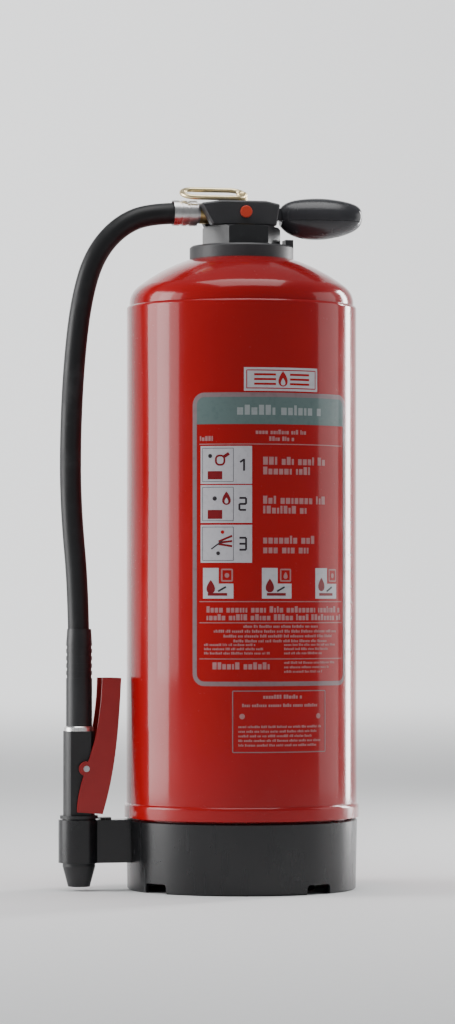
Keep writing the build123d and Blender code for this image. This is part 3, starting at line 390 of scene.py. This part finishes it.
# %% Dress the solids
FINISHES = dict(
    red_paint=lacquer,
    powder=powder,
    foot_plastic=foot_plastic,
    head_plastic=head_plastic,
    handle_plastic=handle_plastic,
    nut_metal=nut_metal,
    seal_rubber=seal_rubber,
    brass_metal=brass_metal,
    zinc_steel=zinc_steel,
    bright_alloy=bright_alloy,
    button_plastic=button_plastic,
    safety_gold=safety_gold,
    hose_rubber=seal_rubber,
    pistol_plastic=pistol_plastic,
    lever_plastic=lever_plastic,
)
for part in frame["record"]["subparts"]:
    mesh = nodes[part["node"]].data
    mesh.materials.clear()
    mesh.materials.append(FINISHES[part["material_slot"]].material)

# %% [markdown]
# ## Print on the tank
#
# An extinguisher carries its directions on its front: a grey header, three numbered steps, a row of fire
# classes and small print, inside a rounded frame. Real print is a thin film of ink on the lacquer. It
# could be mixed into the lacquer's colour by masks, but a film has edges and lies a little proud. So each
# ink here is a sheet of flat shapes, cut into narrow columns and bent round the tank. What the words say
# is left out: a word is a run of small blocks, as printers do when they lay out a page.
#
# First come the shapes. Each is a list of corners on a flat sheet, in millimetres.

# %% Boxes and frames
CORNER_STEPS = 6


def box(left, right, low, high):
    return [(left, low), (right, low), (right, high), (left, high)]


def rounded(left, right, low, high, radius):
    """The outline of a box with round corners."""
    middles = [
        (right - radius, high - radius),
        (left + radius, high - radius),
        (left + radius, low + radius),
        (right - radius, low + radius),
    ]
    points = []
    for corner, (x, z) in enumerate(middles):
        for k in range(CORNER_STEPS + 1):
            turn = pi / 2 * (corner + k / CORNER_STEPS)
            points.append((x + radius * cos(turn), z + radius * sin(turn)))
    return points


def frame_line(left, right, low, high, radius, width):
    """A closed line round a box with round corners, in short pieces."""
    outer = rounded(left, right, low, high, radius)
    inner_radius = max(radius - width, 0.05)
    inner = rounded(left + width, right - width, low + width, high - width, inner_radius)
    return [[outer[i - 1], outer[i], inner[i], inner[i - 1]] for i in range(len(outer))]


print("a rounded box has", len(rounded(0, 10, 0, 10, 2)), "corners")


# %% Discs, drops and strokes
DISC_STEPS, DROP_STEPS = 16, 18


def disc(x, z, radius):
    turns = [2 * pi * k / DISC_STEPS for k in range(DISC_STEPS)]
    return [(x + radius * cos(t), z + radius * sin(t)) for t in turns]


def drop(x, z, size):
    """A drop or a flame: round below and pointed above."""
    turns = [2 * pi * k / DROP_STEPS for k in range(DROP_STEPS)]
    return [(x - size * 0.42 * sin(t) * sin(t / 2), z + size * 0.5 * cos(t)) for t in turns]


def bar(start, end, width):
    """A straight stroke between two points."""
    along = Vector(end) - Vector(start)
    side = Vector((-along.y, along.x)).normalized() * width / 2
    return [tuple(Vector(p) + s) for p, s in ((start, -side), (end, -side), (end, side), (start, side))]


print("a drop has", len(drop(0, 0, 10)), "corners")


# %% Greeked words
# all as shares of the height of a tall letter
LETTER_WIDTHS = (0.30, 0.52, 0.55, 0.60)
SHORT_LETTER = 0.74
LETTER_GAP, WORD_GAP = 0.16, 0.45
TALL_SHARE = 0.35           # how many of the letters are tall


def words(left, right, low, high, seed):
    """A row of greeked words: blocks of a letter's size, some with tall stems."""
    dice = random.Random(seed)
    tall, x = high - low, left
    letters = []
    while x < right - tall * 0.5:
        for _ in range(dice.randint(3, 8)):
            width = tall * dice.choice(LETTER_WIDTHS)
            if x + width > right:
                break
            top = high if dice.random() < TALL_SHARE else low + tall * SHORT_LETTER
            letters.append(box(x, x + width, low, top))
            x += width + tall * LETTER_GAP
        x += tall * WORD_GAP
    return letters


def numeral(number, x, z, size):
    """The step's number, 1 to 3, in plain strokes."""
    half, wide, pen = size / 2, size * 0.28, size * 0.17
    if number == 1:
        stem = x + wide * 0.4
        return [
            bar((stem, z - half), (stem, z + half), pen),
            bar((x - wide * 0.8, z + half * 0.45), (stem, z + half * 0.9), pen),
        ]
    strokes = [bar((x - wide, rail), (x + wide, rail), pen) for rail in (z + half, z, z - half)]
    strokes.append(bar((x + wide, z), (x + wide, z + half), pen))
    lower = -wide if number == 2 else wide
    strokes.append(bar((x + lower, z - half), (x + lower, z), pen))
    return strokes


print("a row of words has", len(words(0, 100, 0, 4, 1)), "letters")

# %% [markdown]
# The sheet is laid out as a printer would do it: across from the middle of the print, and up from the
# floor. Each ink has its own list of shapes. Rows of words come from one function, which is told the
# lowest line of the first row, the height of the letters, and where each row begins and ends.

# %% Inks and rows
INK_NAMES = ("pale", "steel", "slate", "mist", "light", "scarlet", "wine", "ink", "pale_top")
sheet = {ink: [] for ink in INK_NAMES}


def rows(ink, seed, low, height, pitch, spans):
    """Rows of words, one under another."""
    for k, (left, right) in enumerate(spans):
        base = low - pitch * k
        sheet[ink] += words(left, right, base, base + height, seed + k)


print(len(sheet), "inks")

# %% The frame and its header
FRAME_HALF = 72.0
FRAME_LOW, FRAME_HIGH = 168.5, 404.5
FRAME_CORNER, FRAME_LINE = 10.0, 3.6
HEADER_LOW, HEADER_INSET = 379.0, 1.0

sheet["slate"] += frame_line(-FRAME_HALF, FRAME_HALF, FRAME_LOW, FRAME_HIGH, FRAME_CORNER, FRAME_LINE)
header_half, header_corner = FRAME_HALF - HEADER_INSET, FRAME_CORNER - HEADER_INSET
below = HEADER_LOW - 2 * header_corner
header = rounded(-header_half, header_half, below, FRAME_HIGH - HEADER_INSET, header_corner)
sheet["steel"].append([(x, max(z, HEADER_LOW)) for x, z in header])
rows("mist", 11, 386.5, 8.0, 0, [(-35, 42)])
rows("light", 21, 371.0, 3.6, 5.4, [(-20, 25), (-9, 14)])
rows("light", 23, 365.6, 3.8, 0, [(-65.6, -52)])

RULE_HALF, RULE_LINE = 66.0, 0.7
for z in (362.6, 236.0, 219.0, 190.0):
    sheet["light"].append(box(-RULE_HALF, RULE_HALF, z, z + RULE_LINE))
print("frame and header:", sum(len(shapes) for shapes in sheet.values()), "shapes")

# %% A plate with a flame over the frame
PLATE = (-29.5, 35.0, 405.8, 424.7)
PLATE_MIDDLE = 2.7
PLATE_EDGE = (-27.7, 33.2, 407.6, 422.9)

sheet["pale"].append(box(*PLATE))
sheet["scarlet"] += frame_line(*PLATE_EDGE, 0.6, 0.8)
sheet["scarlet"].append(drop(PLATE_MIDDLE, 415.6, 12.5))
sheet["pale_top"].append(drop(PLATE_MIDDLE, 413.3, 6.0))
for side in (-1, 1):
    middle = PLATE_MIDDLE + side * 15.0
    for z in (410.6, 414.4, 418.2):
        sheet["scarlet"].append(box(middle - 9.0, middle + 9.0, z, z + 1.7))
print("plate:", len(sheet["scarlet"]), "red shapes")

# %% [markdown]
# Three steps tell how to use the extinguisher: pull the pin, lift the handle, and squeeze the lever. Each
# has a box with a small picture, its number, and two rows of words. The pictures are generic: a ring on a
# block, a flame beside a block, and a nozzle with its jets.

# %% The three steps
STEP_LEFT, STEP_RIGHT, STEP_H = -65.0, -23.0, 30.4
PICTURE_LEFT, PICTURE_RIGHT = -63.6, -37.8
WORDS_LEFT = -14
STEP_LOW = {1: 331.0, 2: 299.6, 3: 267.6}

for number, low in STEP_LOW.items():
    sheet["pale"].append(box(STEP_LEFT, STEP_RIGHT, low, low + STEP_H))
    sheet["ink"] += frame_line(PICTURE_LEFT, PICTURE_RIGHT, low + 1.6, low + 28.8, 0.4, 0.35)
    sheet["ink"] += numeral(number, -30.5, low + STEP_H / 2, 9.6)
    rows("light", 30 + number, low + 15.4, 6.4, 0, [(WORDS_LEFT, 46 if number < 3 else 34)])
    rows("light", 40 + number, low + 7.6, 6.2, 0, [(WORDS_LEFT, 28)])
print(len(STEP_LOW), "steps")


# %% Their pictures
def pin_picture(low):
    """A block with a pull ring over it."""
    sheet["wine"].append(box(-59, -47, low + 3.6, low + 10.2))
    sheet["ink"].append(disc(-57.0, low + 22.4, 1.7))
    sheet["wine"] += frame_line(-53.0, -44.5, low + 14.5, low + 23.5, 3.6, 1.6)
    sheet["wine"].append(bar((-46.0, low + 21.5), (-41.5, low + 24.5), 2.6))


def flame_picture(low):
    """A block with a flame beside it."""
    sheet["wine"].append(box(-59, -47, low + 3.2, low + 10.4))
    sheet["ink"].append(disc(-53.2, low + 19.6, 1.8))
    sheet["wine"].append(drop(-43.6, low + 19.8, 11.0))
    sheet["pale_top"].append(drop(-43.6, low + 17.9, 4.6))


def spray_picture(low):
    """A nozzle with three jets."""
    for jet in range(3):
        sheet["wine"].append(bar((-50.0, low + 17.0 - jet), (-39.0, low + 21.6 - 4.2 * jet), 1.7))
    sheet["ink"].append(bar((-56.0, low + 11.0), (-47.0, low + 17.5), 1.1))
    sheet["ink"].append(disc(-50.4, low + 7.6, 1.6))
    sheet["scarlet"].append(disc(-46.8, low + 24.6, 1.5))


pin_picture(STEP_LOW[1])
flame_picture(STEP_LOW[2])
spray_picture(STEP_LOW[3])
print("pictures:", len(sheet["wine"]), "dark red shapes")

# %% Fire classes
CLASS_W, CLASS_LOW, CLASS_HIGH = 25.0, 238.8, 263.4
NOTCH_LEFT, NOTCH_LOW = 13.0, 12.0      # the corner that is cut out for the class's sign

for number, left in enumerate((-63.0, -15.0, 33.0)):
    right, notch, shelf = left + CLASS_W, left + NOTCH_LEFT, CLASS_LOW + NOTCH_LOW
    lower_part = [(left, CLASS_LOW), (right, CLASS_LOW), (right, shelf), (notch, shelf)]
    sheet["pale"].append(lower_part + [(notch, CLASS_HIGH), (left, CLASS_HIGH)])
    sign_x, sign_z = left + 19.8, CLASS_LOW + 18.6
    sheet["light"] += frame_line(left + 15.0, left + 24.6, CLASS_LOW + 13.6, CLASS_HIGH - 0.6, 1.0, 1.2)
    sheet["light"].append(drop(sign_x, sign_z, 5.6) if number == 1 else disc(sign_x, sign_z, 1.9))
    sheet["wine"].append(drop(left + 6.5, CLASS_LOW + 9.5 + number, 11.0))
    sheet["wine"].append(bar((left + 4, CLASS_LOW + 3.4), (left + 20, CLASS_LOW + 3.4), 2.2))
    sheet["ink"].append(bar((left + 12.5, CLASS_LOW + 5.8), (left + 19, CLASS_LOW + 9.4), 1.5))
print("classes:", len(sheet["pale"]), "pale shapes")

# %% Small print
rows("light", 51, 227.6, 5.0, 0, [(-60, 64)])
rows("light", 52, 221.4, 4.8, 0, [(-60, 64)])
rows("light", 60, 215.4, 2.2, 3.9, [(-30, 36), (-54, 58), (-46, 54), (-38, 46)])
rows("light", 70, 200.8, 1.9, 3.4, [(-62, -20), (-62, -14), (-62, -8)])
rows("light", 80, 200.8, 1.9, 3.4, [(3.5, 58), (3.5, 49), (3.5, 40)])
rows("light", 90, 186.4, 1.9, 3.6, [(3.5, 56), (3.5, 48), (3.5, 40)])
rows("light", 99, 182.0, 5.6, 0, [(-55, -6)])
rows("light", 130, 300.0, 2.0, 13.0, [(79, 91.5)] * 10)
print("small print:", len(sheet["light"]), "letters and lines")

# %% The lower block
BLOCK = (-39.0, 44.0, 115.0, 165.0)

sheet["slate"] += frame_line(*BLOCK, 1.2, 0.8)
rows("light", 101, 158.4, 3.2, 0, [(-14, 20)])
rows("light", 102, 151.8, 2.6, 0, [(-31, 36)])
rows("light", 110, 135.0, 1.9, 3.7, [(-34, 39), (-34, 34), (-34, 29), (-34, 39), (-34, 34)])
sheet["light"] += [disc(x, 144.2, 2.2) for x in (-31.0, 36.0)]
print(sum(len(shapes) for shapes in sheet.values()), "shapes in", len(sheet), "inks")

# %% [markdown]
# ## The film of ink
#
# A flat shape laid on a round tank would cut through it, so every sheet is sliced into upright columns
# narrower than the eye can tell, and then wrapped: a step along the sheet becomes a turn about the tank's
# axis. Inks that lie on others stand a little higher, so that two films never share one surface. The ink
# shares the lacquer's peel and clear top, since it is lacquered over.

# %% Bend a sheet round the tank
TANK_MM = 95.0            # the tank's radius
PRINT_TURN = 7.0          # the sheet's middle, in degrees from the front towards the handle
COLUMN_MM = 2.2


def bent_sheet(name, shapes, lift):
    """Flat shapes, sliced into columns and wrapped round the tank a little above the lacquer."""
    mesh = bmesh.new()
    for shape in shapes:
        mesh.faces.new([mesh.verts.new((u, 0, z)) for u, z in shape])
    left, right = (pick(v.co.x for v in mesh.verts) for pick in (min, max))
    for k in range(1, int((right - left) / COLUMN_MM) + 1):
        parts = mesh.verts[:] + mesh.edges[:] + mesh.faces[:]
        cut = (left + k * COLUMN_MM, 0, 0)
        bmesh.ops.bisect_plane(mesh, geom=parts, plane_co=cut, plane_no=(1, 0, 0), dist=0.0001)
    for v in mesh.verts:
        turn = radians(PRINT_TURN) + v.co.x / TANK_MM
        away = (TANK_MM + lift) / 1000
        v.co = (away * sin(turn), -away * cos(turn), v.co.z / 1000)
    for face in mesh.faces:
        face.smooth = True
        face.normal_update()
        if face.normal.dot(face.calc_center_median() * Vector((1, 1, 0))) < 0:
            face.normal_flip()
    data = bpy.data.meshes.new(name)
    mesh.to_mesh(data)
    mesh.free()
    made = bpy.data.objects.new(name, data)
    bpy.context.scene.collection.objects.link(made)
    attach(made, "tank")
    return made


print("columns of", COLUMN_MM, "mm")


# %% Ink
def print_ink(name, fresh, worn):
    """An opaque ink with thin places, under the lacquer's gloss."""
    finish = Finish(name, **LACQUER)
    thin = finish.noise(260, 4).between(0.45, 0.85)
    finish.shade(Base_Color=finish.mix(thin, fresh, worn))
    return gloss_like_lacquer(finish)


# each ink's height over the lacquer in millimetres, its colour, and its colour where it is thin
INKS = dict(
    pale=(0.06, rgb(0.50, 0.49, 0.52), rgb(0.42, 0.41, 0.44)),
    steel=(0.07, rgb(0.115, 0.165, 0.160), rgb(0.095, 0.140, 0.136)),
    slate=(0.08, rgb(0.235, 0.165, 0.175), rgb(0.19, 0.13, 0.14)),
    mist=(0.10, rgb(0.30, 0.33, 0.33), rgb(0.24, 0.27, 0.27)),
    light=(0.11, rgb(0.40, 0.19, 0.19), rgb(0.32, 0.14, 0.14)),
    scarlet=(0.12, rgb(0.36, 0.010, 0.012), rgb(0.30, 0.010, 0.012)),
    wine=(0.13, rgb(0.20, 0.012, 0.016), rgb(0.16, 0.012, 0.016)),
    ink=(0.14, rgb(0.035, 0.030, 0.034), rgb(0.055, 0.045, 0.050)),
    pale_top=(0.16, rgb(0.50, 0.49, 0.52), rgb(0.42, 0.41, 0.44)),
)
for ink, (lift, fresh, worn) in INKS.items():
    film = bent_sheet("print_" + ink, sheet[ink], lift)
    film.data.materials.append(print_ink("print_" + ink, fresh, worn).material)
    print(film.name, len(film.data.polygons), "faces")

# %% [markdown]
# ## The hose
#
# The hose is stiff rubber, and it is as long as the way from the head to the pistol. It leaves the head
# level, bows down beside the tank and goes into the pistol's grip. A curve with a bevel would be quick,
# but its map along the length can't be controlled. So the line is a NURBS spline through the route's
# points, and a tube is skinned over it ring by ring, with its own map for the cloth print.

# %% The hose's line
HOSE_ROUTE = [
    (-0.042, 0.5571),
    (-0.076, 0.5571),
    (-0.103, 0.5455),
    (-0.1235, 0.521),
    (-0.134, 0.486),
    (-0.1398, 0.440),
    (-0.1433, 0.380),
    (-0.1433, 0.315),
    (-0.136, 0.238),
    (-0.136, 0.162),
]
HOSE_R = 0.0088
RINGS_PER_SPAN = 24


def spline_points(route, per_span):
    """Points along the smooth line that the route's points control."""
    curve = bpy.data.curves.new("hose_line", "CURVE")
    curve.dimensions = "3D"
    spline = curve.splines.new("NURBS")
    spline.points.add(len(route) - 1)
    for point, (x, z) in zip(spline.points, route):
        point.co = (x, 0, z, 1)
    spline.order_u = 3
    spline.use_endpoint_u = True
    spline.resolution_u = per_span
    line = bpy.data.objects.new("hose_line", curve)
    bpy.context.scene.collection.objects.link(line)
    mesh = bpy.data.meshes.new_from_object(line)
    points = [v.co.copy() for v in mesh.vertices]
    bpy.data.objects.remove(line)
    return points


hose_line = spline_points(HOSE_ROUTE, RINGS_PER_SPAN)
hose_length = sum((b - a).length for a, b in zip(hose_line, hose_line[1:]))
print("hose", round(hose_length * 1000), "mm in", len(hose_line), "rings")


# %% A tube over a line
def tube_mesh(name, line, radius, sides=48):
    """A tube in the XZ plane with a map: once round across, once along up."""
    mesh = bmesh.new()
    rings = []
    for i, centre in enumerate(line):
        ahead = (line[min(i + 1, len(line) - 1)] - line[max(i - 1, 0)]).normalized()
        side, out = Vector((0, 1, 0)), ahead.cross(Vector((0, 1, 0)))
        turns = [2 * pi * k / sides for k in range(sides)]
        rings.append([mesh.verts.new(centre + radius * (cos(a) * side + sin(a) * out)) for a in turns])
    wrap = mesh.loops.layers.uv.new("wrap")
    for i, (low, high) in enumerate(zip(rings, rings[1:])):
        for k in range(sides):
            face = mesh.faces.new((low[k], low[(k + 1) % sides], high[(k + 1) % sides], high[k]))
            face.smooth = True
            for loop, (u, v) in zip(face.loops, ((k, i), (k + 1, i), (k + 1, i + 1), (k, i + 1))):
                loop[wrap].uv = (u / sides, v / (len(rings) - 1))
    mesh.faces.new(rings[0][::-1])
    mesh.faces.new(rings[-1])
    bmesh.ops.recalc_face_normals(mesh, faces=mesh.faces)
    data = bpy.data.meshes.new(name)
    mesh.to_mesh(data)
    mesh.free()
    made = bpy.data.objects.new(name, data)
    bpy.context.scene.collection.objects.link(made)
    return made


rubber_hose = tube_mesh("rubber_hose", hose_line, HOSE_R)
print("hose:", len(rubber_hose.data.polygons), "faces")

# %% [markdown]
# The woven hose takes the hose rubber, and the solid hose that it stands in for is hidden.

# %% Hose finish
rubber_hose.data.materials.append(hose_rubber.material)
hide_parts("hose")
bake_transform(rubber_hose)
print("the hose leaves the head and ends in the pistol")
